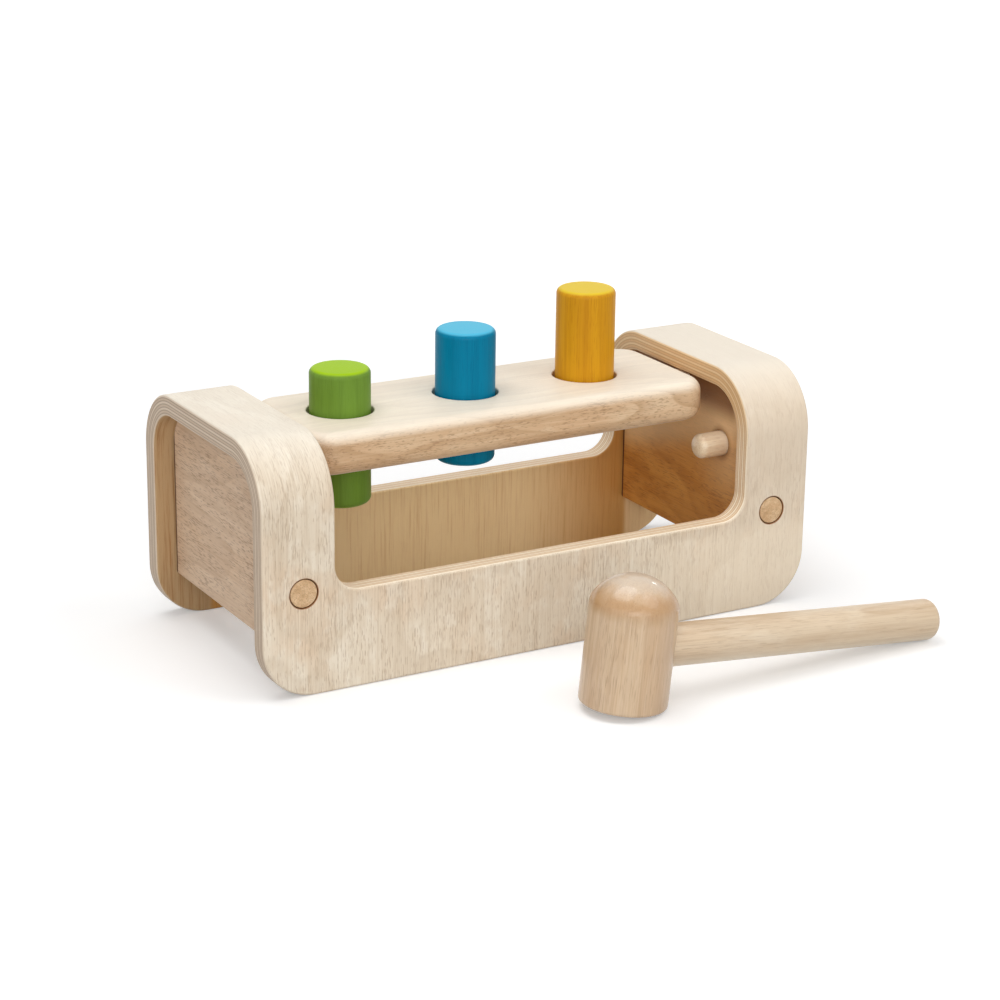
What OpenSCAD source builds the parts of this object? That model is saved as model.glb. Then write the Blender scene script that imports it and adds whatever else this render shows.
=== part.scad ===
// Peg pounding bench: a bent plywood bench with a turning peg board, three pegs and a mallet.
// The origin is on the floor, at the middle of the bench. +X runs along the bench to the right,
// +Y to the back and +Z up.

/* [Shell] */
// Length of the bench along X
bench_length = 260; // [220:2:300]
// Depth of the bench along Y, outside
bench_depth = 116; // [108:1:130]
// Height of the bench
bench_height = 104; // [98:1:116]
// Thickness of the plywood
ply = 9; // [8:0.5:11]
// Outer radius of the two top bends
bend_radius = 27; // [20:1:32]
// Radius of the lower corners of the front and the back
foot_radius = 23; // [12:1:28]
// Width of the shell left and right of its long window
post_width = 32; // [30:1:36]
// Height of the window's sill above the floor
sill_height = 42; // [32:1:50]
// Corner radius of the window
window_radius = 11; // [6:1:16]

/* [End panels] */
// Thickness of an end panel
panel_thickness = 18; // [15:1:20]
// How far an end panel is set in from the shell's open end
panel_inset = 9; // [6:1:12]
// Height of the end panels' lower edge above the floor
panel_bottom = 20; // [14:1:28]

/* [Peg board] */
// Gap between the board's end and the window's edge
board_gap = 3; // [2:0.5:8]
// Width of the board
board_width = 67; // [62:1:70]
// Thickness of the board
board_thickness = 18; // [16:1:20]
// How far the board's top lies below the bench's top
board_drop = 5.6; // [2:0.2:8]
// Rounding of the board's long edges
board_edge = 6; // [3:0.5:7]
// Rounding of the board's ends, above and below
board_end_edge = 6; // [2:0.5:7]
// Radius of the board's corners, seen from above
board_corner = 12; // [8:0.5:16]
// Diameter of a peg hole
hole_diameter = 28; // [27:0.2:29]
// Wood between the board's left end and the first hole
end_wood = 14; // [12:0.5:18]
// Wood between the last hole and the board's right end
far_wood = 30; // [20:0.5:35]

/* [Pegs] */
// Diameter of a peg
peg_diameter = 25.6; // [25:0.1:26]
// Length of a peg
peg_length = 58; // [54:1:62]
// Rounding of a peg's ends
peg_edge = 2.5; // [1.5:0.5:4]
// How far the green peg stands out below the board
green_drop = 21.8; // [0:0.2:30]
// How far the blue peg stands out below the board
blue_drop = 12.1; // [0:0.1:30]
// How far the yellow peg stands out below the board
yellow_drop = 1.4; // [0:0.2:30]
// Thickness of a rubber grip ring
ring_section = 3; // [2.6:0.1:3.2]
// Gap between a peg and its grip ring
ring_clearance = 0.05; // [0.02:0.01:0.1]

/* [Dowels and screws] */
// Diameter of the pivot dowels
dowel_diameter = 10; // [8:0.5:10.5]
// How deep a dowel is glued into its end panel
dowel_depth = 12; // [9:1:13]
// How deep a pivot dowel reaches into the board
pivot_reach = 8; // [6:0.5:8.5]
// Running clearance round a pivot dowel in the board
pivot_clearance = 0.08; // [0.04:0.01:0.1]
// Diameter of the stop dowel
stop_diameter = 11; // [8:0.5:11]
// How far the stop dowel stands out of the end panel
stop_reach = 13.5; // [10:0.5:13.5]
// How far the stop dowel's middle lies behind the board's front edge
stop_inset = 3; // [0:0.5:3]
// How far the stop dowel's middle lies below the board's middle
stop_drop = 21.4; // [21.4:0.5:30]
// Rounding of the stop dowel's free end
stop_edge = 3.2; // [1:0.2:4]
// Rounding of the other ends of the dowels
dowel_edge = 1; // [0.5:0.5:2]
// Diameter of a cover plug
plug_diameter = 12; // [10:0.5:14]
// Thickness of a cover plug
plug_thickness = 3.2; // [2.6:0.1:3.4]
// Height of the cover plugs above the floor
plug_height = 43.8; // [36:0.2:56]
// Diameter of a screw's shank
screw_diameter = 4; // [3:0.5:4.5]
// Length of a screw under its head
screw_length = 34; // [24:1:40]
// Diameter of a screw's head
screw_head = 8.4; // [7:0.2:9]
// Thickness of a screw's head
screw_head_height = 2.8; // [2.2:0.1:3]

/* [Mallet] */
// Diameter of the mallet's head
head_diameter = 36; // [32:1:40]
// Height of the head, from its flat face to the top of its dome
head_height = 53.4; // [48:0.2:60]
// Radius of the shoulder between the head's side and its dome
head_shoulder = 14; // [8:0.5:15]
// Radius of the dome on the head
dome_radius = 20; // [20:1:40]
// Rounding of the head's flat face
head_edge = 1.4; // [0.8:0.2:2]
// Diameter of the handle
handle_diameter = 17.5; // [15:0.5:19]
// Reach of the handle, from the head's middle line to its free end
handle_reach = 154; // [120:1:170]
// Height of the handle's middle line above the head's flat face
handle_height = 22.6; // [20:0.2:26]
// How far the handle goes into the head, past the head's middle line
handle_depth = 6; // [2:1:10]
// Rounding of the handle's free end
handle_edge = 2.8; // [1.5:0.1:4]
// Place along X where the mallet's head meets the floor
mallet_place = 11.5; // [-10:0.5:30]
// Distance of the mallet's head in front of the bench's front face
mallet_forward = 67.4; // [50:0.2:100]
// Turn of the mallet on the floor, in degrees
mallet_turn = 1.3; // [-10:0.1:10]

/* [Hidden] */

// Segments of a round shape in the preview
$fn = 96;
// How far a cut runs past the face it opens
overrun = 2;
// Gap of a glued joint
glue_gap = 0.05;
// Gap round a cover plug, the dark ring seen in the shell
plug_gap = 0.2;
// Easing at the mouth of a dowel's hole
mouth_edge = 0.6;
// Play of a pivot dowel's end in the board, along X
pivot_play = 0.5;
// Gap between a grip ring and the sides of its groove
groove_gap = 0.15;
// Length of a screw's pointed tip
screw_tip = 6;
// Width of the flat end of a screw's tip
screw_tip_width = 0.6;

half_length = bench_length / 2;
half_depth = bench_depth / 2;
window_length = bench_length - 2 * post_width;
inner_depth = bench_depth - 2 * ply;
inner_bend = bend_radius - ply;
panel_outer = half_length - panel_inset;
panel_inner = panel_outer - panel_thickness;
panel_middle = panel_outer - panel_thickness / 2;

board_length = window_length - 2 * board_gap;
half_board = board_length / 2;
board_top = bench_height - board_drop;
board_middle = board_top - board_thickness / 2;
board_bottom = board_top - board_thickness;
end_gap = panel_inner - half_board;
hole_pitch = (board_length - end_wood - far_wood - hole_diameter) / 2;
first_hole = end_wood + hole_diameter / 2 - half_board;
hole_places = [first_hole, first_hole + hole_pitch, first_hole + 2 * hole_pitch];

ring_inner = peg_diameter / 2 + ring_clearance;
ring_centre = ring_inner + ring_section / 2;
groove_radius = ring_inner + ring_section + glue_gap;
groove_width = ring_section + 2 * groove_gap;

pivot_length = dowel_depth + end_gap + pivot_reach;
stop_forward = board_width / 2 - stop_inset;
stop_height = board_middle - stop_drop;
counterbore_depth = plug_thickness + screw_head_height;
screw_hole_depth = counterbore_depth + screw_length + overrun;

// The mallet rests on the rim of its head and on the end of its handle. The rims are round, so the
// lean is the slope between the middles of the two roundings, less what their radii differ by.
rest_run = handle_reach - handle_edge - head_diameter / 2 + head_edge;
rest_rise = handle_height - handle_diameter / 2 + handle_edge - head_edge;
mallet_lean = atan2(rest_rise, rest_run) - asin((handle_edge - head_edge) / norm([rest_run, rest_rise]));

// A rectangle with round corners, centred on the origin
module rounded_rectangle(width, height, radius) {
    square([width - 2 * radius, height], center = true);
    square([width, height - 2 * radius], center = true);
    for (x = [-1, 1], y = [-1, 1])
        translate([x * (width / 2 - radius), y * (height / 2 - radius)])
            circle(r = radius);
}

// The rounded rim of a bar's end: the outer quarter of a circle, at the given height
module rim_profile(radius, edge, height) {
    intersection() {
        translate([radius - edge, height])
            circle(r = edge);
        translate([0, height - edge])
            square([radius, 2 * edge]);
    }
}

// A round bar with rounded rims that stands on the origin
module round_bar(diameter, length, low_edge, high_edge) {
    radius = diameter / 2;
    rotate_extrude() {
        translate([0, low_edge])
            square([radius, length - low_edge - high_edge]);
        square([radius - low_edge, length / 2]);
        translate([0, length / 2])
            square([radius - high_edge, length / 2]);
        rim_profile(radius, low_edge, low_edge);
        rim_profile(radius, high_edge, length - high_edge);
    }
}

// The end view of the bend: round top corners, open below, drawn in Y and height
module arch(width, height, radius, bottom) {
    translate([-width / 2, bottom])
        square([width, height - radius - bottom]);
    translate([-width / 2 + radius, bottom])
        square([width - 2 * radius, height - bottom]);
    for (side = [-1, 1])
        translate([side * (width / 2 - radius), height - radius])
            circle(r = radius);
}

// Turns a drawing in Y and height into a slab along X
module along_x(length) {
    rotate([90, 0, 90])
        translate([0, 0, -length / 2])
            linear_extrude(length)
                children();
}

// Turns a drawing in X and height into a slab along Y
module along_y(length) {
    rotate([90, 0, 0])
        translate([0, 0, -length / 2])
            linear_extrude(length)
                children();
}

// A front view with straight sides and round lower corners, open above
module round_bottomed(width, bottom, top, radius) {
    translate([-width / 2, bottom + radius])
        square([width, top - bottom - radius]);
    translate([-width / 2 + radius, bottom])
        square([width - 2 * radius, top - bottom]);
    for (side = [-1, 1])
        translate([side * (width / 2 - radius), bottom + radius])
            circle(r = radius);
}

// Places a child, drawn upwards, where a screw goes into the shell: it then points inwards
module at_screw(side, face) {
    translate([side * panel_middle, face * half_depth, plug_height])
        rotate([face * 90, 0, 0])
            children();
}

// Places a child, drawn upwards, on the inner face of an end panel: it then points to the middle
module on_panel(side, y, z) {
    translate([side * panel_inner, y, z])
        rotate([0, -side * 90, 0])
            children();
}

// The hole for a dowel in an end panel, with an eased mouth
module dowel_hole(diameter) {
    translate([0, 0, -dowel_depth - glue_gap])
        cylinder(d = diameter + 2 * glue_gap, h = dowel_depth + glue_gap + overrun);
    translate([0, 0, -mouth_edge])
        cylinder(
            d1 = diameter + 2 * glue_gap,
            d2 = diameter + 2 * (glue_gap + mouth_edge + overrun),
            h = mouth_edge + overrun
        );
}

module ply_shell() {
    color("wheat")
        difference() {
            intersection() {
                along_x(bench_length)
                    arch(bench_depth, bench_height, bend_radius, 0);
                along_y(bench_depth)
                    round_bottomed(bench_length, 0, bench_height + overrun, foot_radius);
            }
            along_x(bench_length + 2 * overrun)
                arch(inner_depth, bench_height - ply, inner_bend, -overrun);
            along_y(bench_depth + 2 * overrun)
                round_bottomed(window_length, sill_height, bench_height + overrun, window_radius);
            for (side = [-1, 1], face = [-1, 1])
                at_screw(side, face) {
                    translate([0, 0, -overrun])
                        cylinder(d = plug_diameter + 2 * plug_gap, h = counterbore_depth + overrun);
                    cylinder(d = screw_diameter + 2 * glue_gap, h = ply + overrun);
                }
        }
}

module end_panel(side) {
    difference() {
        translate([side * panel_middle, 0, 0])
            along_x(panel_thickness)
                arch(
                    inner_depth - 2 * glue_gap,
                    bench_height - ply - glue_gap,
                    inner_bend - glue_gap,
                    panel_bottom
                );
        on_panel(side, 0, board_middle)
            dowel_hole(dowel_diameter);
        if (side > 0)
            on_panel(side, -stop_forward, stop_height)
                dowel_hole(stop_diameter);
        for (face = [-1, 1])
            at_screw(side, face)
                cylinder(d = screw_diameter + 2 * glue_gap, h = screw_hole_depth);
    }
}

module end_panel_left() {
    color("burlywood")
        end_panel(-1);
}

module end_panel_right() {
    color("burlywood")
        end_panel(1);
}

module peg_board() {
    color("bisque")
        difference() {
            intersection() {
                translate([0, 0, board_middle])
                    along_x(board_length)
                        rounded_rectangle(board_width, board_thickness, board_edge);
                translate([0, 0, board_middle])
                    along_y(board_width)
                        rounded_rectangle(board_length, board_thickness, board_end_edge);
                translate([0, 0, board_bottom])
                    linear_extrude(board_thickness)
                        rounded_rectangle(board_length, board_width, board_corner);
            }
            for (place = hole_places) {
                translate([place, 0, board_bottom - overrun])
                    cylinder(d = hole_diameter, h = board_thickness + 2 * overrun);
                translate([place, 0, board_middle - groove_width / 2])
                    cylinder(r = groove_radius, h = groove_width);
            }
            for (side = [-1, 1])
                translate([side * (half_board + overrun), 0, board_middle])
                    rotate([0, -side * 90, 0])
                        cylinder(
                            d = dowel_diameter + 2 * pivot_clearance,
                            h = overrun + pivot_reach + pivot_play
                        );
        }
}

module peg(place, drop) {
    translate([place, 0, board_bottom - drop])
        round_bar(peg_diameter, peg_length, peg_edge, peg_edge);
}

module peg_green() {
    color("yellowgreen")
        peg(hole_places[0], green_drop);
}

module peg_blue() {
    color("deepskyblue")
        peg(hole_places[1], blue_drop);
}

module peg_yellow() {
    color("gold")
        peg(hole_places[2], yellow_drop);
}

module grip_ring(place) {
    color("dimgray")
        translate([place, 0, board_middle])
            rotate_extrude()
                translate([ring_centre, 0])
                    circle(d = ring_section);
}

module grip_ring_green() {
    grip_ring(hole_places[0]);
}

module grip_ring_blue() {
    grip_ring(hole_places[1]);
}

module grip_ring_yellow() {
    grip_ring(hole_places[2]);
}

module pivot_dowel(side) {
    color("tan")
        on_panel(side, 0, board_middle)
            translate([0, 0, -dowel_depth])
                round_bar(dowel_diameter, pivot_length, dowel_edge, dowel_edge);
}

module pivot_dowel_left() {
    pivot_dowel(-1);
}

module pivot_dowel_right() {
    pivot_dowel(1);
}

module stop_dowel() {
    color("tan")
        on_panel(1, -stop_forward, stop_height)
            translate([0, 0, -dowel_depth])
                round_bar(stop_diameter, dowel_depth + stop_reach, dowel_edge, stop_edge);
}

module cover_plug(side, face) {
    color("tan")
        at_screw(side, face)
            cylinder(d = plug_diameter, h = plug_thickness);
}

module cover_plug_front_left() {
    cover_plug(-1, -1);
}

module cover_plug_front_right() {
    cover_plug(1, -1);
}

module cover_plug_back_left() {
    cover_plug(-1, 1);
}

module cover_plug_back_right() {
    cover_plug(1, 1);
}

module screw(side, face) {
    color("silver")
        at_screw(side, face)
            translate([0, 0, plug_thickness]) {
                cylinder(d = screw_head, h = screw_head_height);
                cylinder(d = screw_diameter, h = screw_head_height + screw_length - screw_tip);
                translate([0, 0, screw_head_height + screw_length - screw_tip])
                    cylinder(d1 = screw_diameter, d2 = screw_tip_width, h = screw_tip);
            }
}

module screw_front_left() {
    screw(-1, -1);
}

module screw_front_right() {
    screw(1, -1);
}

module screw_back_left() {
    screw(-1, 1);
}

module screw_back_right() {
    screw(1, 1);
}

// Places a child, drawn with the head standing on the origin and the handle along X, on the floor.
// The middle of the rim's rounding is the point that the mallet leans about.
module stand_mallet() {
    translate([mallet_place, -half_depth - mallet_forward, head_edge])
        rotate([0, mallet_lean, mallet_turn])
            translate([head_edge - head_diameter / 2, 0, -head_edge])
                children();
}

// The handle, or with a gap round it the hole that it fills in the head
module handle_bar(gap) {
    translate([-handle_depth - gap, 0, handle_height])
        rotate([0, 90, 0])
            round_bar(
                handle_diameter + 2 * gap,
                handle_depth + handle_reach + gap,
                head_edge,
                handle_edge
            );
}

module mallet_head() {
    color("peru")
        stand_mallet()
            difference() {
                intersection() {
                    round_bar(head_diameter, head_height, head_edge, head_shoulder);
                    translate([0, 0, head_height - dome_radius]) {
                        sphere(r = dome_radius);
                        translate([0, 0, -head_height])
                            cylinder(r = dome_radius, h = head_height);
                    }
                }
                handle_bar(glue_gap);
            }
}

module mallet_handle() {
    color("peru")
        stand_mallet()
            handle_bar(0);
}

ply_shell();
end_panel_left();
end_panel_right();
peg_board();
peg_green();
peg_blue();
peg_yellow();
grip_ring_green();
grip_ring_blue();
grip_ring_yellow();
pivot_dowel_left();
pivot_dowel_right();
stop_dowel();
cover_plug_front_left();
cover_plug_front_right();
cover_plug_back_left();
cover_plug_back_right();
screw_front_left();
screw_front_right();
screw_back_left();
screw_back_right();
mallet_head();
mallet_handle();
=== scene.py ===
import math
import bmesh
import bpy
import numpy as np
from mathutils import Matrix, Vector


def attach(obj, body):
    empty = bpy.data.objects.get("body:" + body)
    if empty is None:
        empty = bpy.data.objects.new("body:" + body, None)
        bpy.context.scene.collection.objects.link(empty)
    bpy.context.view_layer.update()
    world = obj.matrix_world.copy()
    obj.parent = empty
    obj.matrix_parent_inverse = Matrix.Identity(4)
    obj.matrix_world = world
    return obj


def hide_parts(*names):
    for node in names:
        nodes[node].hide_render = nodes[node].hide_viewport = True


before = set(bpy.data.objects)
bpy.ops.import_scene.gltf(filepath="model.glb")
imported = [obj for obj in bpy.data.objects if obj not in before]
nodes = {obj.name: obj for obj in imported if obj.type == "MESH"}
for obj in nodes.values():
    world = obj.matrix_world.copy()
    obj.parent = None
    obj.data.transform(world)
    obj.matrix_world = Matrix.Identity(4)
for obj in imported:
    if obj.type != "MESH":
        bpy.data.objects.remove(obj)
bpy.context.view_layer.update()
mm = 0.001
print("frame loaded")

# Lengths below are in mm. Every new shape is an array of rows, and each row is a loop of points.


# Evenly spaced numbers or points, from the start by equal steps to the end
def line(start, end, steps):
    return np.linspace(start, end, steps + 1)


# Points on an arc about (cx, cy), from one angle to the other, in degrees
def arc(cx, cy, radius, start, end, steps):
    angle = np.radians(line(start, end, steps))
    return np.stack([cx + radius * np.cos(angle), cy + radius * np.sin(angle)], axis=-1)


# A profile of (radius, height) pairs turned about Z: x = r cos a, y = r sin a, z = h
def turned(profile, around):
    angle = np.linspace(0, 2 * np.pi, around, endpoint=False)
    radius, height = profile[:, :1], profile[:, 1:]
    return np.stack([radius * np.cos(angle), radius * np.sin(angle), height + 0 * angle], axis=-1)


# The side view of a round bar: a crowned end, a rounded rim, a straight side, and the same above.
# The crown sinks with the square of the distance from the middle, which is a small flat face.
def barProfile(radius, length, lowRim, highRim, crown, steps=9, middleFace=0.04):
    inner = line(middleFace, 1, 4)[:-1]
    low = np.stack([inner * (radius - lowRim), crown * inner ** 2], axis=-1)
    high = np.stack([inner * (radius - highRim), length - crown * inner ** 2], axis=-1)[::-1]
    lowArc = arc(radius - lowRim, crown + lowRim, lowRim, -90, 0, steps)
    highArc = arc(radius - highRim, length - crown - highRim, highRim, 0, 90, steps)
    side = line(lowArc[-1], highArc[0], 5)[1:-1]
    return np.concatenate([low, lowArc, side, highArc, high])


# A rectangle with four corner radii, run anticlockwise: points and outward normals in the plane.
# Each corner is an arc about its own centre, and the straight sides join the arcs.
def roundedOutline(halfWidth, halfHeight, radii, steps):
    points, normals = [], []
    for corner, (sx, sy) in enumerate([(1, 1), (-1, 1), (-1, -1), (1, -1)]):
        radius = radii[corner]
        way = arc(0, 0, 1, 90 * corner, 90 * corner + 90, steps)
        centre = np.array([sx * (halfWidth - radius), sy * (halfHeight - radius)])
        points.append(centre + radius * way)
        normals.append(way)
    return np.concatenate(points), np.concatenate(normals)


# The wall between two faces, as (inset, height) pairs: a quarter arc at each, and straight between
def easedWall(low, high, ease, steps):
    lowArc = arc(ease, low + ease, ease, 270, 180, steps)
    return np.concatenate([lowArc, arc(ease, high - ease, ease, 180, 90, steps)])


# Turns points about X, then Y, then Z, in degrees, and moves them
def placed(points, turn=(0, 0, 0), move=(0, 0, 0)):
    turns = [np.array(Matrix.Rotation(math.radians(a), 3, axis)) for a, axis in zip(turn, "XYZ")]
    return points @ (turns[2] @ turns[1] @ turns[0]).T + np.array(move, float)


# A new object in the scene. The pieces stay at the origin, with their places in their meshes.
def addObject(name, data):
    made = bpy.data.objects.new(name, data)
    bpy.context.scene.collection.objects.link(made)
    return made


# Joins neighbouring rows by quads. The last row meets the first in a ring, or else both are filled.
def makeMesh(name, rows, ring=False):
    rowCount, around = rows.shape[:2]
    index = np.arange(rowCount * around).reshape(rowCount, around)
    low = index if ring else index[:-1]
    high = np.roll(index, -1, axis=0) if ring else index[1:]
    quads = np.stack([low, np.roll(low, -1, axis=1), np.roll(high, -1, axis=1), high], axis=-1)
    faces = quads.reshape(-1, 4).tolist()
    if not ring:
        faces += [index[0][::-1].tolist(), index[-1].tolist()]
    mesh = bpy.data.meshes.new(name)
    mesh.from_pydata((rows.reshape(-1, 3) * mm).tolist(), [], faces)
    solid = bmesh.new()
    solid.from_mesh(mesh)
    bmesh.ops.remove_doubles(solid, verts=solid.verts, dist=1e-7)
    bmesh.ops.recalc_face_normals(solid, faces=solid.faces)
    solid.to_mesh(mesh)
    solid.free()
    return addObject(name, mesh)


# Cuts holes in a piece: each cutter is an array of rows, and goes when it has cut
def drill(piece, cutters):
    tools = [makeMesh("cutter", rows) for rows in cutters]
    for tool in tools:
        hole = piece.modifiers.new("hole", "BOOLEAN")
        hole.operation, hole.solver, hole.object = "DIFFERENCE", "EXACT", tool
    bpy.context.view_layer.update()
    cut = piece.evaluated_get(bpy.context.evaluated_depsgraph_get())
    cutMesh = bpy.data.meshes.new_from_object(cut)
    piece.modifiers.clear()
    piece.data = cutMesh
    for tool in tools:
        bpy.data.objects.remove(tool)


# The mouth of a hole in a face at a height: an arc that leans out, and a lip that runs on clear
def holeMouth(radius, height, flare, lean=10, clear=4):
    mouth = arc(radius + flare, height - flare, flare, 180, 90 + lean, 6)
    return np.concatenate([mouth, mouth[-1:] + arc(0, 0, clear, lean, lean, 0)])


# A bore that opens upwards at height 0
def boreRows(radius, depth, flare, around=64):
    return turned(np.concatenate([[[radius, -depth]], holeMouth(radius, 0, flare)]), around)


sharpAngle = 40  # in degrees


# Smooth faces, sharp only where they meet at a real corner, with large faces kept flat in the light
def finishPiece(piece, body, material, slot, *stoodFor):
    piece.data.shade_smooth()
    piece.data.set_sharp_from_angle(angle=math.radians(sharpAngle))
    even = piece.modifiers.new("even", "WEIGHTED_NORMAL")
    even.keep_sharp = True
    piece.data.materials.clear()
    piece.data.materials.append(material)
    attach(piece, body)
    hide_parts(*stoodFor)


# A colour given as it looks on a screen, 0 to 255, in the shader's own linear values. A node's output
# stays as it is.
def colour(tone):
    if isinstance(tone, bpy.types.NodeSocket):
        return tone
    share = np.array(tone) / 255
    linear = np.where(share <= 0.04045, share / 12.92, ((share + 0.055) / 1.055) ** 2.4)
    return (*linear.tolist(), 1.0)


# An input that is another node's output is linked, and any other is set
def addNode(tree, kind, inputs=None, **settings):
    made = tree.nodes.new(kind)
    for key, value in settings.items():
        setattr(made, key, value)
    for key, value in (inputs or {}).items():
        if isinstance(value, bpy.types.NodeSocket):
            tree.links.new(value, made.inputs[key])
        else:
            made.inputs[key].default_value = value
    return made


# One sum of up to three numbers or outputs
def calculate(tree, operation, first, second=0.0, third=0.0):
    inputs = {0: first, 1: second, 2: third}
    return addNode(tree, "ShaderNodeMath", inputs, operation=operation).outputs[0]


# All of them multiplied
def product(tree, first, *others):
    for other in others:
        first = calculate(tree, "MULTIPLY", first, other)
    return first


# The value goes from the least, where the share is 0, to the most, where it is 1
def between(tree, share, least, most):
    return calculate(tree, "MULTIPLY_ADD", share, most - least, least)


# What is left of 1
def oneLess(tree, value):
    return calculate(tree, "SUBTRACT", 1.0, value)


# The distance in a plane between a place and a point, by Pythagoras
def distanceTo(tree, u, v, pointU, pointV):
    alongU = calculate(tree, "POWER", calculate(tree, "SUBTRACT", u, pointU), 2.0)
    alongV = calculate(tree, "POWER", calculate(tree, "SUBTRACT", v, pointV), 2.0)
    return calculate(tree, "SQRT", calculate(tree, "ADD", alongU, alongV))


# Goes smoothly from 0 to 1 as the value goes from one end to the other, in either direction
def rise(tree, value, start, end):
    if start > end:
        return oneLess(tree, rise(tree, value, end, start))
    inputs = {"Value": value, "From Min": start, "From Max": end}
    return addNode(tree, "ShaderNodeMapRange", inputs, interpolation_type="SMOOTHSTEP").outputs[0]


# The first colour, taken by a share towards the second, or towards the two multiplied
def mixed(tree, share, first, second, blend="MIX"):
    inputs = {0: share, 6: colour(first), 7: colour(second)}
    return addNode(tree, "ShaderNodeMix", inputs, data_type="RGBA", blend_type=blend).outputs[2]


# Lays a tint over the base where the mask shows it. A tint is a colour and how much of it shows.
def laid(tree, mask, base, tint, blend="MIX"):
    return mixed(tree, product(tree, mask, tint[1]), base, tint[0], blend)


# Noise that is drawn out along the grain: across and along are how often it changes in a mm
def grainNoise(tree, grain, across, along, seed, detail=2.0, roughness=0.5):
    shift = (seed * 7.31, seed * 3.17, seed * 11.9)
    inputs = {0: grain, 1: (across, across, along), 2: shift}
    drawn = addNode(tree, "ShaderNodeVectorMath", inputs, operation="MULTIPLY_ADD").outputs[0]
    inputs = {"Vector": drawn, "Scale": 1.0, "Detail": detail, "Roughness": roughness}
    return addNode(tree, "ShaderNodeTexNoise", inputs).outputs["Fac"]


# The place on the piece in mm, with its middle and its turn taken off, so that Z runs along the grain
def grainSpace(tree, look):
    place = addNode(tree, "ShaderNodeTexCoord").outputs["Object"]
    inputs = {
        "Vector": place,
        "Location": Vector(look.get("centre", (0, 0, 0))) * mm,
        "Rotation": [math.radians(a) for a in look.get("turn", (0, 0, 0))],
        "Scale": (mm, mm, mm),
    }
    return addNode(tree, "ShaderNodeMapping", inputs, vector_type="TEXTURE").outputs[0]


# The X, Y and Z of a vector
def parted(tree, vector):
    return addNode(tree, "ShaderNodeSeparateXYZ", {0: vector}).outputs


# What all woods share unless a piece says otherwise. Each noise is given by its across and along,
# and a pair by where something starts to show and where it shows in full.
plainWood = {
    "poreColour": (140, 100, 62), "patchColour": (214, 178, 134),
    "tone": (0.05, 0.008), "toneRange": (0.36, 0.64),
    "patch": (0.06, 0.02), "patchRange": (0.46, 0.68), "patchStrength": 0.4,
    "cloud": (0.12, 0.05), "cloudRange": (0.5, 0.66), "cloudStrength": 0.25,
    "streak": (0.4, 0.012), "streakRange": (0.47, 0.7), "streakStrength": 0.35,
    "figure": (0.03, 0.004), "figureCount": 12, "figureStrength": 0.4,
    "figureFade": 2.5, "figureEdge": (1.0, 0.8),
    "fibre": (1.7, 0.04), "fibreStrength": 0.3, "fibreRelief": 0.35,
    "fibreDark": (0.45, 0.72), "fibreLight": (0.5, 0.28),
    "pore": (2.5, 0.35), "poreRare": 0.59, "poreEdge": 0.1,
    "crowd": (0.06, 0.1), "crowdStrength": 0.3,  # the crowds' noise is a share of the pores' own
    "roughness": 0.5, "relief": 0.05,
}


# Wood has slow changes of tone, warmer patches, pale clouds, year rings, streaks, fine fibres and
# short dark pores. The rings are the level lines of a noise that is drawn out along the grain, each
# dark on one side and fading away. Gives the colour, how far pores and fibres sink, and the fibres.
def woodColour(tree, grain, look, poreShare=1.0):
    seed = look["seed"]

    # Where the noise is in its range, the base takes on another colour
    def laidOver(base, kind, shift, tint):
        noise = grainNoise(tree, grain, *look[kind], seed + shift, 3.0, 0.6)
        share = product(tree, rise(tree, noise, *look[kind + "Range"]), look[kind + "Strength"])
        return mixed(tree, share, base, look[tint])

    tone = grainNoise(tree, grain, *look["tone"], seed, 3.0)
    base = mixed(tree, rise(tree, tone, *look["toneRange"]), look["pale"], look["mid"])
    base = laidOver(base, "patch", 3, "patchColour")
    base = laidOver(base, "cloud", 6, "light")
    field = grainNoise(tree, grain, *look["figure"], seed + 1, 1.5)
    ring = calculate(tree, "FRACT", calculate(tree, "MULTIPLY", field, look["figureCount"]))
    ring = calculate(tree, "POWER", ring, look["figureFade"])
    ring = product(tree, ring, rise(tree, ring, *look["figureEdge"]), look["figureStrength"])
    base = mixed(tree, ring, base, look["dark"])
    base = laidOver(base, "streak", 4, "dark")
    fibre = grainNoise(tree, grain, *look["fibre"], seed + 2, 4.0, 0.6)
    for shade, tint in (("fibreDark", "dark"), ("fibreLight", "light")):
        share = product(tree, rise(tree, fibre, *look[shade]), look["fibreStrength"])
        base = mixed(tree, share, base, look[tint])
    pore = grainNoise(tree, grain, *look["pore"], seed + 5, 1.0)
    crowdSize = [size * share for size, share in zip(look["pore"], look["crowd"])]
    crowd = calculate(tree, "SUBTRACT", grainNoise(tree, grain, *crowdSize, seed + 9, 1.0), 0.5)
    often = calculate(tree, "MULTIPLY_ADD", crowd, look["crowdStrength"], pore)
    pores = rise(tree, often, look["poreRare"], look["poreRare"] + look["poreEdge"])
    base = mixed(tree, product(tree, pores, look["poreStrength"], poreShare), base, look["poreColour"])
    sunkFibre = calculate(tree, "MULTIPLY", fibre, -look["fibreRelief"])
    return base, calculate(tree, "MULTIPLY_ADD", pores, -1.0, sunkFibre), fibre


roughnessSpread = 0.08  # how much rougher or smoother the fibres are


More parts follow.
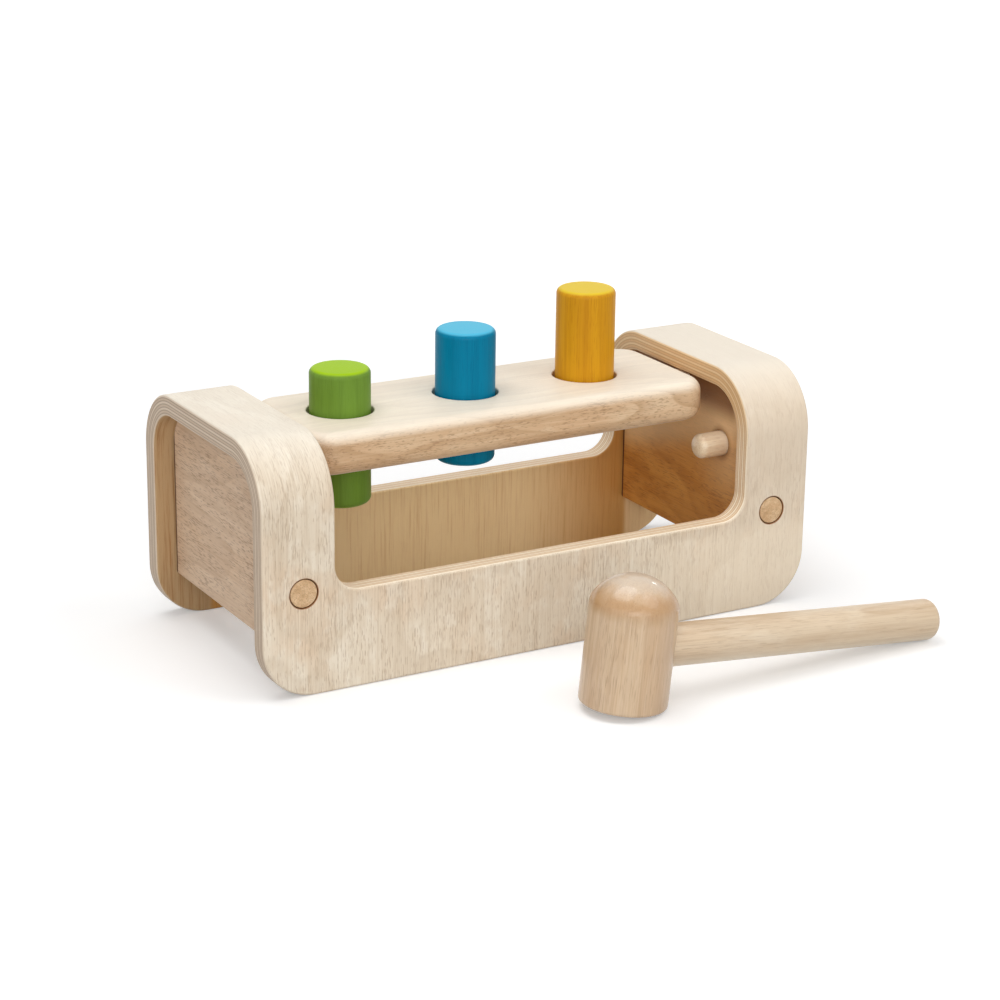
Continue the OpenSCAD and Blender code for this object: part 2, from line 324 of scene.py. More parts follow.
# Links colour, roughness and relief. What is the same all over is set on the shader itself.
def surfaceOf(material, look, base, height, fibre):
    tree = material.node_tree
    shader = tree.nodes["Principled BSDF"]
    tree.links.new(base, shader.inputs["Base Color"])
    least, most = look["roughness"] - roughnessSpread, look["roughness"] + roughnessSpread
    tree.links.new(between(tree, fibre, least, most), shader.inputs["Roughness"])
    inputs = {"Height": height, "Distance": look["relief"] * mm, "Strength": 1.0}
    tree.links.new(addNode(tree, "ShaderNodeBump", inputs).outputs[0], shader.inputs["Normal"])
    shader.inputs["IOR"].default_value = look.get("ior", 1.4)
    shader.inputs["Coat Weight"].default_value = look.get("coat", 0.0)
    shader.inputs["Coat Roughness"].default_value = look.get("coatRoughness", 0.2)


# A material with its shader, ready for nodes
def newMaterial(name):
    material = bpy.data.materials.new(name)
    material.use_nodes = True
    return material


# dress changes the colour by the place on the piece, and poreShare how strongly pores show there
def woodMaterial(name, look, dress=None, poreShare=None):
    material = newMaterial(name)
    tree = material.node_tree
    grain = grainSpace(tree, look)
    share = poreShare(tree, grain) if poreShare else 1.0
    base, height, fibre = woodColour(tree, grain, look, share)
    surfaceOf(material, look, dress(tree, grain, base) if dress else base, height, fibre)
    return material


# The bent plywood shell: bend is the outer radius of its two bends, foot the radius of its lower
# corners, sill the height of the window's lower edge, and ease the radius of all other edges
shell = {
    "length": 260, "depth": 116, "height": 104, "ply": 9, "bend": 27, "foot": 23,
    "windowHalf": 98, "sill": 42, "windowCorner": 11, "ease": 1.2,
    "plugX": 112, "plugZ": 43.8, "plugBore": 6.2, "plugBoreDepth": 6, "plugFlare": 0.3,
}
straight = shell["height"] - shell["bend"]
quarter = shell["bend"] * math.pi / 2
sheetLength = 2 * straight + 2 * quarter + shell["depth"] - 2 * shell["bend"]


# Bends the flat sheet: s runs up the front, over the top and down the back, t goes inwards.
# In a bend the point turns about the bend's middle by s over the radius.
def bendSheet(x, s, t):
    bend = shell["bend"]
    folded = np.minimum(s, sheetLength - s)
    angle = np.clip((folded - straight) / bend, 0, np.pi / 2)
    y = bend - shell["depth"] / 2 - (bend - t) * np.cos(angle)
    y = y + np.maximum(folded - straight - quarter, 0)
    z = np.minimum(folded, straight) + (bend - t) * np.sin(angle)
    return np.stack([x + 0 * z, np.where(s > sheetLength / 2, -y, y), z], axis=-1)


# The way back from points of the bent sheet to x, the depth t, and s
def flattenSheet(points):
    x, y, z = points.T
    bend, half, side = shell["bend"], shell["depth"] / 2, np.abs(y)
    outY, outZ = side - (half - bend), z - straight
    inBend = (outY > 0) & (outZ > 0)
    onTop = (outY <= 0) & (outZ > 0)
    s = np.where(inBend, straight + bend * np.arctan2(outZ, outY), np.minimum(z, straight))
    s = np.where(onTop, straight + quarter - outY, s)
    t = np.where(inBend, bend - np.hypot(outY, outZ), half - side)
    t = np.where(onTop, shell["height"] - z, t)
    return np.stack([x, t, np.where(y > 0, sheetLength - s, s)], axis=-1)


# The right front quarter of the sheet's outer rim and of its window's rim, point by point, as (x, s)
# and the ways out of the wood. Along a post both rims have the same s, so that the bend is even.
def sheetRims():
    half, middle, foot = shell["length"] / 2, sheetLength / 2, shell["foot"]
    windowHalf, sill, corner = shell["windowHalf"], shell["sill"], shell["windowCorner"]
    cornerX, cornerS = windowHalf - corner, sill + corner
    heights = np.concatenate([
        line(cornerS, straight, 3)[1:],
        line(straight, straight + quarter, 28)[1:],
        line(straight + quarter, middle, 3)[1:],
    ])[:, None]
    footArc = arc(half - foot, foot, foot, -90, 0, 16)
    outer = np.concatenate([
        line((0, 0), (cornerX, 0), 4),
        line((cornerX, 0), footArc[0], 4)[1:-1],
        footArc,
        line(footArc[-1], (half, cornerS), 4)[1:],
        np.hstack([0 * heights + half, heights]),
    ])
    inner = np.concatenate([
        line((0, sill), (cornerX, sill), 4),
        arc(cornerX, cornerS, corner, -90, 0, 24)[1:],
        np.hstack([0 * heights + windowHalf, heights]),
    ])
    outerWay = np.where(outer[:, 1:] >= foot, [[1.0, 0.0]], [[0.0, -1.0]])
    inFoot = (outer[:, :1] > half - foot) & (outer[:, 1:] < foot)
    outerWay = np.where(inFoot, (outer - [half - foot, foot]) / foot, outerWay)
    innerWay = np.where(inner[:, 1:] >= cornerS, [[-1.0, 0.0]], [[0.0, 1.0]])
    inArc = (inner[:, :1] > cornerX) & (inner[:, 1:] < cornerS)
    innerWay = np.where(inArc, -(inner - [cornerX, cornerS]) / corner, innerWay)
    return wholeRim(outer, outerWay), wholeRim(inner, innerWay)


# Mirrors a quarter of a rim to the back, and then both to the left
def wholeRim(points, ways):
    points = np.concatenate([points, (points * [1, -1] + [0, sheetLength])[::-1][1:]])
    ways = np.concatenate([ways, (ways * [1, -1])[::-1][1:]])
    points = np.concatenate([points, (points * [-1, 1])[::-1][1:-1]])
    return points, np.concatenate([ways, (ways * [-1, 1])[::-1][1:-1]])


# Rows across the wood: from the window's rim on the outer face, round its eased wall to the inner
# face, and back round the outer wall
def shellRows():
    (outer, outerWay), (inner, innerWay) = sheetRims()
    wall = easedWall(0, shell["ply"], shell["ease"], 6)
    rows = []
    for points, ways, steps in ((inner, innerWay, wall), (outer, outerWay, wall[::-1])):
        for inset, depth in steps:
            flat = points - ways * inset
            rows.append(bendSheet(flat[:, 0], flat[:, 1], np.full(len(flat), depth)))
    return np.array(rows)


plyShell = makeMesh("plyShell", shellRows(), ring=True)
drill(plyShell, [
    placed(
        boreRows(shell["plugBore"], shell["plugBoreDepth"], shell["plugFlare"]),
        (-face * 90, 0, 0),
        (side * shell["plugX"], face * shell["depth"] / 2, shell["plugZ"]),
    )
    for side in (-1, 1) for face in (-1, 1)
])
# Each point keeps its place on the flat sheet, which the plywood's pattern follows
corners = np.empty(len(plyShell.data.vertices) * 3, np.float32)
plyShell.data.vertices.foreach_get("co", corners)
flat = flattenSheet(corners.reshape(-1, 3).astype(float) / mm)
sheetPlace = plyShell.data.attributes.new("sheet", "FLOAT_VECTOR", "POINT")
sheetPlace.data.foreach_set("vector", flat.ravel().astype(np.float32))

# Up is along the sheet from its lower edge, right is from the middle, out is to either end, deep is
# from the outer face, and away is from a plug. Shares go from the least to the most.
plywoodLook = {
    **plainWood,
    "seed": 3,
    "pale": (240, 226, 204), "mid": (233, 216, 192),
    "dark": (204, 182, 154), "light": (250, 240, 222),
    "poreColour": (182, 152, 122), "patchColour": (232, 208, 180),
    "tone": (0.016, 0.009),
    "patch": (0.03, 0.022), "patchStrength": 0.9,
    "cloud": (0.11, 0.08), "cloudStrength": 0.5,
    "streak": (0.5, 0.014), "streakStrength": 0.26,
    "figure": (0.016, 0.009), "figureCount": 7,
    "fibre": (1.9, 0.03), "fibreStrength": 0.4,
    "pore": (2.7, 0.26), "poreRare": 0.58, "poreStrength": 0.44,
    # Painted shade: the veneer is a little darker above the lower band
    "postShade": (250, 249, 248), "postShadeUp": (40, 66),
    "calmTone": (230, 211, 187), "calmRight": (66, 110),
    "calmUp": (30, 75), "calmShares": (0.3, 0.7),
    # Painted light: the veneer is paler over the top, where light falls from above
    "paintedFaceLight": ((247, 241, 228), 0.6), "faceLightUp": (84, 118),
    # Painted light: paler at the lower band's right, where the mallet's shadow falls
    "paintedBandLight": ((252, 236, 211), 0.5), "bandLightUp": (42, 32), "bandLightRight": (20, 90),
    # Painted light on the inner faces: paler, and warmer partly as their own veneer and partly as warm
    # bounce light
    "innerPaintedLight": ((255, 242, 212), 0.9),
    "innerDeep": (shell["ply"] - 0.6, shell["ply"] - 0.2),
    "innerVeneerAndBounce": (255, 236, 207),
    # Painted shade: the inner faces are darker towards the corners
    "innerCornerShade": (208, 160, 98), "cornerShadeOut": (42, 104),
    # Painted shade past the left end panel, and painted light past the right one
    "outsideLeftShade": (196, 172, 146), "outsideRightLight": (250, 223, 190),
    "rightHalf": (-60, 60), "pastPanelOut": (103.5, 107),
    "fleck": (212, 176, 136), "fleckRange": (0.46, 0.74),
    "fleckNoise": (1.1, 0.03, 87, 4.0, 0.65),  # across, along, seed, detail, roughness
    "fleckRight": (-100, -108), "fleckShares": (0.4, 0.85),
    "outerPly": (226, 208, 186), "outerCross": (200, 176, 150),
    # Painted light: the plies round the window are paler and warmer
    "windowPlyLit": (252, 240, 218), "windowCrossLit": (232, 204, 168),
    # Painted shade: darker towards the top of the window's edge
    "windowTopShade": (244, 226, 198), "windowTopShadeUp": (60, 100),
    "windowOut": (106, 100), "windowUp": (34, 40),
    "plies": 7, "crossShare": 0.6, "edgeShare": 0.4, "edgeRange": (0.36, 0.64),
    "edgeStreaks": (0.04, 2.4, 0.04), "speckSize": 1.4, "speckShare": 0.35,
    # Painted light: the glue lines round the window are paler and warmer than at the ends
    "outerGlue": (164, 138, 114), "windowGlueLit": (206, 164, 118),
    "glueEdge": (0.32, 0.1), "glueShare": 0.8, "edgeDeep": (0.3, 0.6),
    # The plug holes' walls: a dark joint colour with painted shade in the gap
    "joint": (150, 102, 62), "boreDeep": (6.5, 6.1),
    "boreAway": (shell["plugBore"] + 0.5, shell["plugBore"] + 0.1),
}


# The veneer is a little darker above the lower band, as painted shade, and plainer at the right. It is
# paler over the top, as painted light from above, and at the lower band's right, as painted light
# where the mallet's shadow falls. On the inside it is paler and warmer, partly as its own veneer and
# partly as painted warm bounce light, and streaked; it is darker in the corners, as painted shade, and
# past the end panels it is darker at the left, as painted shade, and paler at the right, as painted
# light.
def veneerTones(tree, grain, look, base, x, side, folded, inner):
    base = mixed(tree, rise(tree, folded, *look["postShadeUp"]), base, look["postShade"], "MULTIPLY")
    calm = between(tree, rise(tree, folded, *look["calmUp"]), *look["calmShares"])
    calm = product(tree, rise(tree, x, *look["calmRight"]), calm)
    base = mixed(tree, calm, base, look["calmTone"])
    base = laid(tree, rise(tree, folded, *look["faceLightUp"]), base, look["paintedFaceLight"])
    paintedBandLight = product(tree, rise(tree, folded, *look["bandLightUp"]), rise(tree, x, *look["bandLightRight"]))
    base = laid(tree, paintedBandLight, base, look["paintedBandLight"])
    corner = rise(tree, side, *look["cornerShadeOut"])
    warm = mixed(tree, corner, look["innerVeneerAndBounce"], look["innerCornerShade"])
    rightHalf = rise(tree, x, *look["rightHalf"])
    outside = mixed(tree, rightHalf, look["outsideLeftShade"], look["outsideRightLight"])
    warm = mixed(tree, rise(tree, side, *look["pastPanelOut"]), warm, outside)
    base = laid(tree, inner, base, look["innerPaintedLight"])
    base = mixed(tree, inner, base, warm, "MULTIPLY")
    streak = grainNoise(tree, grain, *look["fleckNoise"])
    streak = rise(tree, streak, *look["fleckRange"])
    strength = rise(tree, x, *look["fleckRight"])
    strength = between(tree, strength, *look["fleckShares"])
    return mixed(tree, product(tree, streak, inner, strength), base, look["fleck"], "MULTIPLY")


# The edges show the plies, every second one across the grain and darker, with a dark line of glue
# between two. Round the window they are paler and warmer, as painted light, and towards the top of the
# window darker, as painted shade.
def edgeColour(tree, grain, look, side, depth, folded):
    ply = shell["ply"] / look["plies"]
    count = calculate(tree, "DIVIDE", depth, ply)
    level = calculate(tree, "MAXIMUM", calculate(tree, "FLOOR", count), 0.0)
    level = calculate(tree, "MINIMUM", level, look["plies"] - 1.0)
    cross = calculate(tree, "MODULO", level, 2.0)
    nearest = calculate(tree, "MAXIMUM", calculate(tree, "ROUND", count), 1.0)
    nearest = calculate(tree, "MINIMUM", nearest, look["plies"] - 1.0)
    away = calculate(tree, "ABSOLUTE", calculate(tree, "SUBTRACT", count, nearest))
    glue = rise(tree, product(tree, away, ply), *look["glueEdge"])
    inputs = {0: grain, 1: look["edgeStreaks"]}
    drawn = addNode(tree, "ShaderNodeVectorMath", inputs, operation="MULTIPLY").outputs[0]
    inputs = {"Vector": drawn, "Scale": 1.0, "Detail": 3.0}
    streaks = addNode(tree, "ShaderNodeTexNoise", inputs).outputs["Fac"]
    streaks = product(tree, streaks, 1 - look["speckShare"])
    speck = grainNoise(tree, grain, look["speckSize"], look["speckSize"], look["seed"] + 20, 2.0)
    tone = calculate(tree, "MULTIPLY_ADD", speck, look["speckShare"], streaks)
    share = product(tree, rise(tree, tone, *look["edgeRange"]), look["edgeShare"])
    share = calculate(tree, "MULTIPLY_ADD", cross, look["crossShare"], share)
    atWindow = rise(tree, side, *look["windowOut"])
    atWindow = product(tree, atWindow, rise(tree, folded, *look["windowUp"]))
    outer = mixed(tree, share, look["outerPly"], look["outerCross"])
    window = mixed(tree, share, look["windowPlyLit"], look["windowCrossLit"])
    top = rise(tree, folded, *look["windowTopShadeUp"])
    window = mixed(tree, top, window, look["windowTopShade"], "MULTIPLY")
    glueColour = mixed(tree, atWindow, look["outerGlue"], look["windowGlueLit"])
    return laid(tree, glue, mixed(tree, atWindow, outer, window), (glueColour, look["glueShare"]))


# Veneer on both faces, edges between them, and a dark wall in the holes for the cover plugs, a joint
# colour with painted shade
def plywoodMaterial(name, look):
    material = newMaterial(name)
    tree = material.node_tree
    grain = addNode(tree, "ShaderNodeAttribute", attribute_name="sheet").outputs["Vector"]
    base, height, fibre = woodColour(tree, grain, look)
    x, depth, s = parted(tree, grain)
    side = calculate(tree, "ABSOLUTE", x)
    folded = calculate(tree, "MINIMUM", s, calculate(tree, "SUBTRACT", sheetLength, s))
    inner = rise(tree, depth, *look["innerDeep"])
    base = veneerTones(tree, grain, look, base, x, side, folded, inner)
    inside = product(tree, rise(tree, depth, *look["edgeDeep"]), oneLess(tree, inner))
    base = mixed(tree, inside, base, edgeColour(tree, grain, look, side, depth, folded))
    fromPlug = distanceTo(tree, side, folded, shell["plugX"], shell["plugZ"])
    bore = rise(tree, fromPlug, *look["boreAway"])
    bore = product(tree, bore, rise(tree, depth, *look["boreDeep"]))
    surfaceOf(material, look, mixed(tree, bore, base, look["joint"]), height, fibre)
    return material


plywood = plywoodMaterial("plywood", plywoodLook)
finishPiece(plyShell, "bench", plywood, "plywood", "ply_shell")
print("shell made")

# The end panels: inner and outer are how far from the middle their two faces stand
panel = {
    "inner": 103, "outer": 121, "halfWidth": 48.95, "top": 94.95, "bottom": 20, "corner": 17.95,
    "footCorner": 1.2, "ease": 0.7, "boreDepth": 12.05, "flare": 0.6, "pivotBore": 5.05,
    "pivotZ": 89.4, "stopBore": 5.55, "stopY": -30.5, "stopZ": 68,
}


# A slab with an arched outline in Y and Z: each row has its own inset and place along X
def panelRows(side):
    half = (panel["top"] - panel["bottom"]) / 2
    radii = (panel["corner"], panel["corner"], panel["footCorner"], panel["footCorner"])
    points, ways = roundedOutline(panel["halfWidth"], half, radii, 14)
    rows = []
    for inset, x in easedWall(panel["inner"], panel["outer"], panel["ease"], 4):
        flat = points - ways * inset
        place = [0 * flat[:, 0] + side * x, flat[:, 0], flat[:, 1] + panel["bottom"] + half]
        rows.append(np.stack(place, axis=-1))
    return np.array(rows)


# Out is from the bench's middle, up from the floor, along to the back, and away from the stop dowel
panelLook = {
    **plainWood,
    "turn": (-90, 0, 0), "seed": 11,
    "pale": (230, 202, 173), "mid": (222, 192, 162),
    "dark": (190, 154, 120), "light": (238, 214, 187),
    "poreColour": (146, 106, 78), "patchColour": (224, 188, 150),
    "figure": (0.025, 0.006), "figureCount": 10,
    "pore": (2.2, 0.24), "poreRare": 0.565, "poreStrength": 0.5, "innerPoresLost": 0.25,
    "roughness": 0.55,
    # Painted shade and warm bounce light: the faces towards the middle are darker and more orange
    "innerFace": ((240, 190, 100), 0.95),
    "innerOut": (panel["inner"] + 1.5, panel["inner"] + 0.5),
    "wave": ((216, 196, 166), 0.55), "waveRange": (0.44, 0.66),
    "waveNoise": (0.09, 0.03, 83, 3.0, 0.65),  # across, along, seed, detail, roughness
    # Painted reflection: a pale sheen above, on the faces towards the middle
    "paintedSheen": ((233, 195, 144), 0.7), "sheenUp": (54, 68), "sheenSlant": 0.28,
    "rightHalf": (-50, 50),
    # Painted light: a pale glow about the stop dowel
    "paintedGlow": ((226, 194, 152), 0.4), "glowAway": (34, 6), "glowY": panel["stopY"] - 6,
    # Painted shadow behind the board's ends, just under the top
    "paintedShadow": ((118, 68, 26), 0.8),
    "shadowUp": (76, 87), "shadowAlong": (-46, -37),
    # Painted shadow: a dark ring round the stop dowel's base
    "ring": ((118, 68, 26), 0.6), "dowelShadowAway": (9, 5.5),
    # The edges against the shell: a dark joint colour with painted shade
    "joint": (92, 60, 36),
    "jointAlong": (panel["halfWidth"] - 1.9, panel["halfWidth"] - 1.1),
}


# 1 on the face towards the middle and 0 on the rest of the panel
def onInnerFace(tree, grain):
    out = calculate(tree, "ABSOLUTE", parted(tree, grain)[0])
    return rise(tree, out, *panelLook["innerOut"])


# The faces towards the middle are a darker orange, as painted shade and warm bounce light, with a
# waved tone and a pale painted reflection above. A painted shadow lies behind the board's ends and
# right round the stop dowel, with a painted glow of light about it. The edges at the shell are dark,
# as a joint with painted shade.
def dressPanel(tree, grain, base):
    look = panelLook
    x, down, along = parted(tree, grain)
    up = calculate(tree, "MULTIPLY", down, -1.0)
    innerFace = onInnerFace(tree, grain)
    withDowel = product(tree, innerFace, rise(tree, x, *look["rightHalf"]))
    base = laid(tree, innerFace, base, look["innerFace"], "MULTIPLY")
    wave = rise(tree, grainNoise(tree, grain, *look["waveNoise"]), *look["waveRange"])
    base = laid(tree, product(tree, wave, innerFace), base, look["wave"], "MULTIPLY")
    slanted = calculate(tree, "MULTIPLY_ADD", along, look["sheenSlant"], up)
    paintedSheen = product(tree, rise(tree, slanted, *look["sheenUp"]), innerFace)
    base = laid(tree, paintedSheen, base, look["paintedSheen"])
    away = distanceTo(tree, along, up, look["glowY"], panel["stopZ"])
    paintedGlow = product(tree, rise(tree, away, *look["glowAway"]), withDowel)
    base = laid(tree, paintedGlow, base, look["paintedGlow"])
    behind = rise(tree, along, *look["shadowAlong"])
    behind = product(tree, rise(tree, up, *look["shadowUp"]), behind, innerFace)
    base = laid(tree, behind, base, look["paintedShadow"])
    away = distanceTo(tree, along, up, panel["stopY"], panel["stopZ"])
    ring = product(tree, rise(tree, away, *look["dowelShadowAway"]), withDowel)
    base = laid(tree, ring, base, look["ring"])
    edge = rise(tree, calculate(tree, "ABSOLUTE", along), *look["jointAlong"])
    return mixed(tree, edge, base, look["joint"])


# Pores show less on the faces towards the middle
def panelPores(tree, grain):
    return oneLess(tree, product(tree, onInnerFace(tree, grain), panelLook["innerPoresLost"]))


panelWood = woodMaterial("panelWood", panelLook, dressPanel, panelPores)
for side, name in ((-1, "Left"), (1, "Right")):
    endPanel = makeMesh("endPanel" + name, panelRows(side))
    holes = [(panel["pivotBore"], 0, panel["pivotZ"])]
    if side > 0:
        holes.append((panel["stopBore"], panel["stopY"], panel["stopZ"]))
    drill(endPanel, [
        placed(
            boreRows(radius, panel["boreDepth"], panel["flare"]),
            (0, -side * 90, 0),
            (side * panel["inner"], y, z),
        )
        for radius, y, z in holes
    ])
    finishPiece(endPanel, "bench", panelWood, "panel_wood", "end_panel_" + name.lower())
print("end panels made")

# The peg board: holes are their places along X, and hole, groove and pivotBore are radii
board = {
    "halfLength": 95, "halfWidth": 33.5, "middle": 89.4, "thickness": 18, "corner": 12, "rim": 6,
    "holes": (-67, -8, 51), "hole": 14, "holeRim": 0.7, "groove": 15.9, "grooveHalf": 1.65,
    "pivotBore": 5.08, "pivotDepth": 8.5, "pivotFlare": 0.4,
}


# A slab with round corners and rounded rims: each row is a step of the rim's arc, in and up
def boardRows():
    radii = [board["corner"]] * 4
    points, ways = roundedOutline(board["halfLength"], board["halfWidth"], radii, 16)
    half = board["thickness"] / 2
    rows = []
    for inset, height in easedWall(-half, half, board["rim"], 12):
        flat = points - ways * inset
        level = 0 * flat[:, 0] + board["middle"] + height
        rows.append(np.stack([flat[:, 0], flat[:, 1], level], axis=-1))
    return np.array(rows)


# The side view of a peg's hole through the board: flared at both faces, with the ring's groove inside
def pegHoleRows():
    step = [[board["groove"], board["grooveHalf"]], [board["hole"], board["grooveHalf"]]]
    mouth = holeMouth(board["hole"], board["thickness"] / 2, board["holeRim"])
    upper = np.concatenate([step, mouth])
    return turned(np.concatenate([(upper * [1, -1])[::-1], upper]), 96)


pegBoard = makeMesh("pegBoard", boardRows())
drill(pegBoard, [placed(pegHoleRows(), move=(x, 0, board["middle"])) for x in board["holes"]] + [
    placed(
        boreRows(board["pivotBore"], board["pivotDepth"], board["pivotFlare"]),
        (0, side * 90, 0),
        (side * board["halfLength"], 0, board["middle"]),
    )
    for side in (-1, 1)
])
boardLook = {
    **plainWood,
    "turn": (0, 90, 0), "centre": (0, 0, board["middle"]), "seed": 21,
    "pale": (232, 203, 167), "mid": (222, 189, 151),
    "dark": (192, 153, 112), "light": (240, 219, 187),
    "poreColour": (150, 108, 72), "patchColour": (215, 176, 135),
    "patch": (0.07, 0.02), "patchStrength": 0.75,
    "streak": (0.3, 0.012), "streakStrength": 0.55,
    "figure": (0.035, 0.007), "figureCount": 9, "figureStrength": 0.8,
    "pore": (2.5, 0.42), "poreRare": 0.575, "poreStrength": 0.45,
    "roughness": 0.45,
    # Painted light: both faces paler, the upper one over its rim too
    "paintedFaceLight": ((255, 250, 236), 0.64),
    "faceLightTop": (-3.4, -8.6), "faceLightBottom": (7.6, 8.9),
    "poresEnd": (6, 8.8), "poresLost": 0.65,
}


# Both of the board's faces are paler, as painted light from above, the upper one over its rim too. In
# the grain's own space down is X.
def dressBoard(tree, grain, base):
    down = parted(tree, grain)[0]
    top = rise(tree, down, *boardLook["faceLightTop"])
    faceLight = calculate(tree, "MAXIMUM", top, rise(tree, down, *boardLook["faceLightBottom"]))
    return laid(tree, faceLight, base, boardLook["paintedFaceLight"])


# Both faces have fewer pores
def boardPores(tree, grain):
    nearFace = rise(tree, calculate(tree, "ABSOLUTE", parted(tree, grain)[0]), *boardLook["poresEnd"])
    return oneLess(tree, product(tree, nearFace, boardLook["poresLost"]))


boardWood = woodMaterial("boardWood", boardLook, dressBoard, boardPores)
finishPiece(pegBoard, "board", boardWood, "board_wood", "peg_board")
print("peg board made")

# The pegs: drop is how far one hangs below the board, and endFade where its ends turn paler, as
# painted light
peg = {
    "radius": 12.8, "length": 58, "rim": 2.5, "crown": 0.12, "boardBottom": 80.4,
    "endFade": (1.3, 0.2),
}
pegKinds = {
    "green": {
        "x": -67, "drop": 21.8, "seed": 31,
        "side": (114, 149, 56), "streak": (95, 126, 46), "end": (160, 198, 14),
    },
    "blue": {
        "x": -8, "drop": 12.1, "seed": 33,
        "side": (2, 126, 162), "streak": (2, 104, 138), "end": (86, 190, 222),
    },
    "yellow": {
        "x": 51, "drop": 1.4, "seed": 36,
        "side": (216, 156, 30), "streak": (182, 112, 20), "end": (230, 198, 52),
    },
}


# Stain on wood: the grain shows through the sides as darker upright streaks, and both ends are paler,
# as painted light from above
def stainMaterial(name, kind):
    half = peg["length"] / 2
    look = {
        **plainWood,
        "centre": (kind["x"], 0, peg["boardBottom"] - kind["drop"] + half), "seed": kind["seed"],
        "pale": kind["side"], "mid": kind["side"], "light": kind["side"],
        "dark": kind["streak"], "poreColour": kind["streak"],
        "patchStrength": 0, "streakStrength": 0.3,
        "figure": (0.05, 0.004), "figureCount": 6, "figureStrength": 0.32,
        "fibre": (1.7, 0.02),
        "pore": (2.5, 0.15), "poreStrength": 0.35,
        "roughness": 0.4, "relief": 0.02, "ior": 1.12, "coat": 0.08,
    }

    def paintedEndLight(tree, grain, base):
        fromMiddle = calculate(tree, "ABSOLUTE", parted(tree, grain)[2])
        # Painted light: both ends are paler
        end = rise(tree, fromMiddle, half - peg["endFade"][0], half - peg["endFade"][1])
        return mixed(tree, end, base, kind["end"])

    return woodMaterial(name, look, paintedEndLight)


for name, kind in pegKinds.items():
    profile = barProfile(peg["radius"], peg["length"], peg["rim"], peg["rim"], peg["crown"])
    rows = placed(turned(profile, 112), move=(kind["x"], 0, peg["boardBottom"] - kind["drop"]))
    finishPiece(
        makeMesh(name + "Peg", rows), name + "_peg", stainMaterial(name + "Stain", kind),
        name + "_paint", "peg_" + name,
    )
print("pegs made")

# The dowels: start is how far from the middle their hidden ends lie
dowel = {
    "radius": 5, "length": 28, "rim": 1, "crown": 0.05, "start": 115,
    "stopRadius": 5.5, "stopLength": 25.5, "stopRim": 3.2, "stopCrown": 0.4,
}
dowelLook = {
    **plainWood,
    "turn": (0, 90, 0), "seed": 41,
    "pale": (250, 232, 204), "mid": (244, 222, 190),
    "dark": (216, 180, 140), "light": (253, 241, 220),
    "poreColour": (190, 150, 112), "patchColour": (236, 206, 166),
    "figureStrength": 0.24, "poreStrength": 0.25,
    "roughness": 0.36, "coat": 0.4, "coatRoughness": 0.15,
}
dowelWood = woodMaterial("dowelWood", dowelLook)
for side, name in ((-1, "Left"), (1, "Right")):
    profile = barProfile(dowel["radius"], dowel["length"], dowel["rim"], dowel["rim"], dowel["crown"])
    place = (side * dowel["start"], 0, panel["pivotZ"])
    rows = placed(turned(profile, 64), (0, -side * 90, 0), place)
    finishPiece(
        makeMesh("pivotDowel" + name, rows), "bench", dowelWood, "dowel_wood",
        "pivot_dowel_" + name.lower(),
    )
profile = barProfile(
    dowel["stopRadius"], dowel["stopLength"], dowel["rim"], dowel["stopRim"], dowel["stopCrown"],
)
rows = placed(turned(profile, 72), (0, -90, 0), (dowel["start"], panel["stopY"], panel["stopZ"]))
finishPiece(makeMesh("stopDowel", rows), "bench", dowelWood, "dowel_wood", "stop_dowel")

# The cover plugs: sideFade is how far below the shell's face their side turns dark
plug = {
    "radius": 5.85, "thickness": 3.2, "hiddenRim": 0.2, "rim": 0.4, "crown": 0.15,
    # The plug's side: a dark joint colour with painted shade in the gap
    "joint": (126, 84, 48), "sideFade": (0.35, 0.6),
}
plugLook = {
    **plainWood,
    "turn": (90, 0, 0), "seed": 47,
    "pale": (234, 201, 159), "mid": (217, 179, 136),
    "dark": (186, 144, 100), "light": (244, 218, 182),
    "patchColour": (206, 160, 112),
    "tone": (0.22, 0.05), "patch": (0.3, 0.3), "streak": (0.5, 0.5),
    "figure": (0.1, 0.004), "figureCount": 7, "figureStrength": 0.48,
    "fibre": (1.3, 0.1),
    "pore": (2.2, 0.5), "poreStrength": 0.35,
    "roughness": 0.42,
}


# The plug's side is dark below its rim: a joint colour with painted shade in the gap
def dressPlug(tree, grain, base):
    fromMiddle = calculate(tree, "ABSOLUTE", parted(tree, grain)[2])
    half = shell["depth"] / 2
    side = rise(tree, fromMiddle, half - plug["sideFade"][0], half - plug["sideFade"][1])
    return mixed(tree, side, base, plug["joint"])


plugWood = woodMaterial("plugWood", plugLook, dressPlug)
for face, depthName in ((-1, "Front"), (1, "Back")):
    for side, sideName in ((-1, "Left"), (1, "Right")):
        # Drawn outwards from its hidden face, so that its crown comes up to the shell's own face
        profile = barProfile(
            plug["radius"], plug["thickness"], plug["hiddenRim"], plug["rim"], plug["crown"],
        )
        hiddenFace = face * (shell["depth"] / 2 - plug["thickness"])
        place = (side * shell["plugX"], hiddenFace, shell["plugZ"])
        rows = placed(turned(profile, 64), (-face * 90, 0, 0), place)
        finishPiece(
            makeMesh("coverPlug" + depthName + sideName, rows), "bench", plugWood, "dowel_wood",
            f"cover_plug_{depthName.lower()}_{sideName.lower()}",
        )
print("dowels and plugs made")

# The mallet: edge rounds the flat face of its head, handleReach is from the head's axis, and x and y
# are where the head's rim touches the floor. The turn about the upright is in degrees.
mallet = {
    "radius": 18, "height": 53.4, "shoulder": 14, "dome": 20, "edge": 1.4, "soft": 0.3,
    "handleRadius": 8.75, "handleReach": 154, "handleHeight": 22.6, "handleDepth": 6,
    "handleRim": 2.8, "handleCrown": 0.2, "holeRadius": 8.85, "holeSpan": (-0.1, 40.0),
    "x": 11.5, "y": -125.4, "turn": 1.3,
}
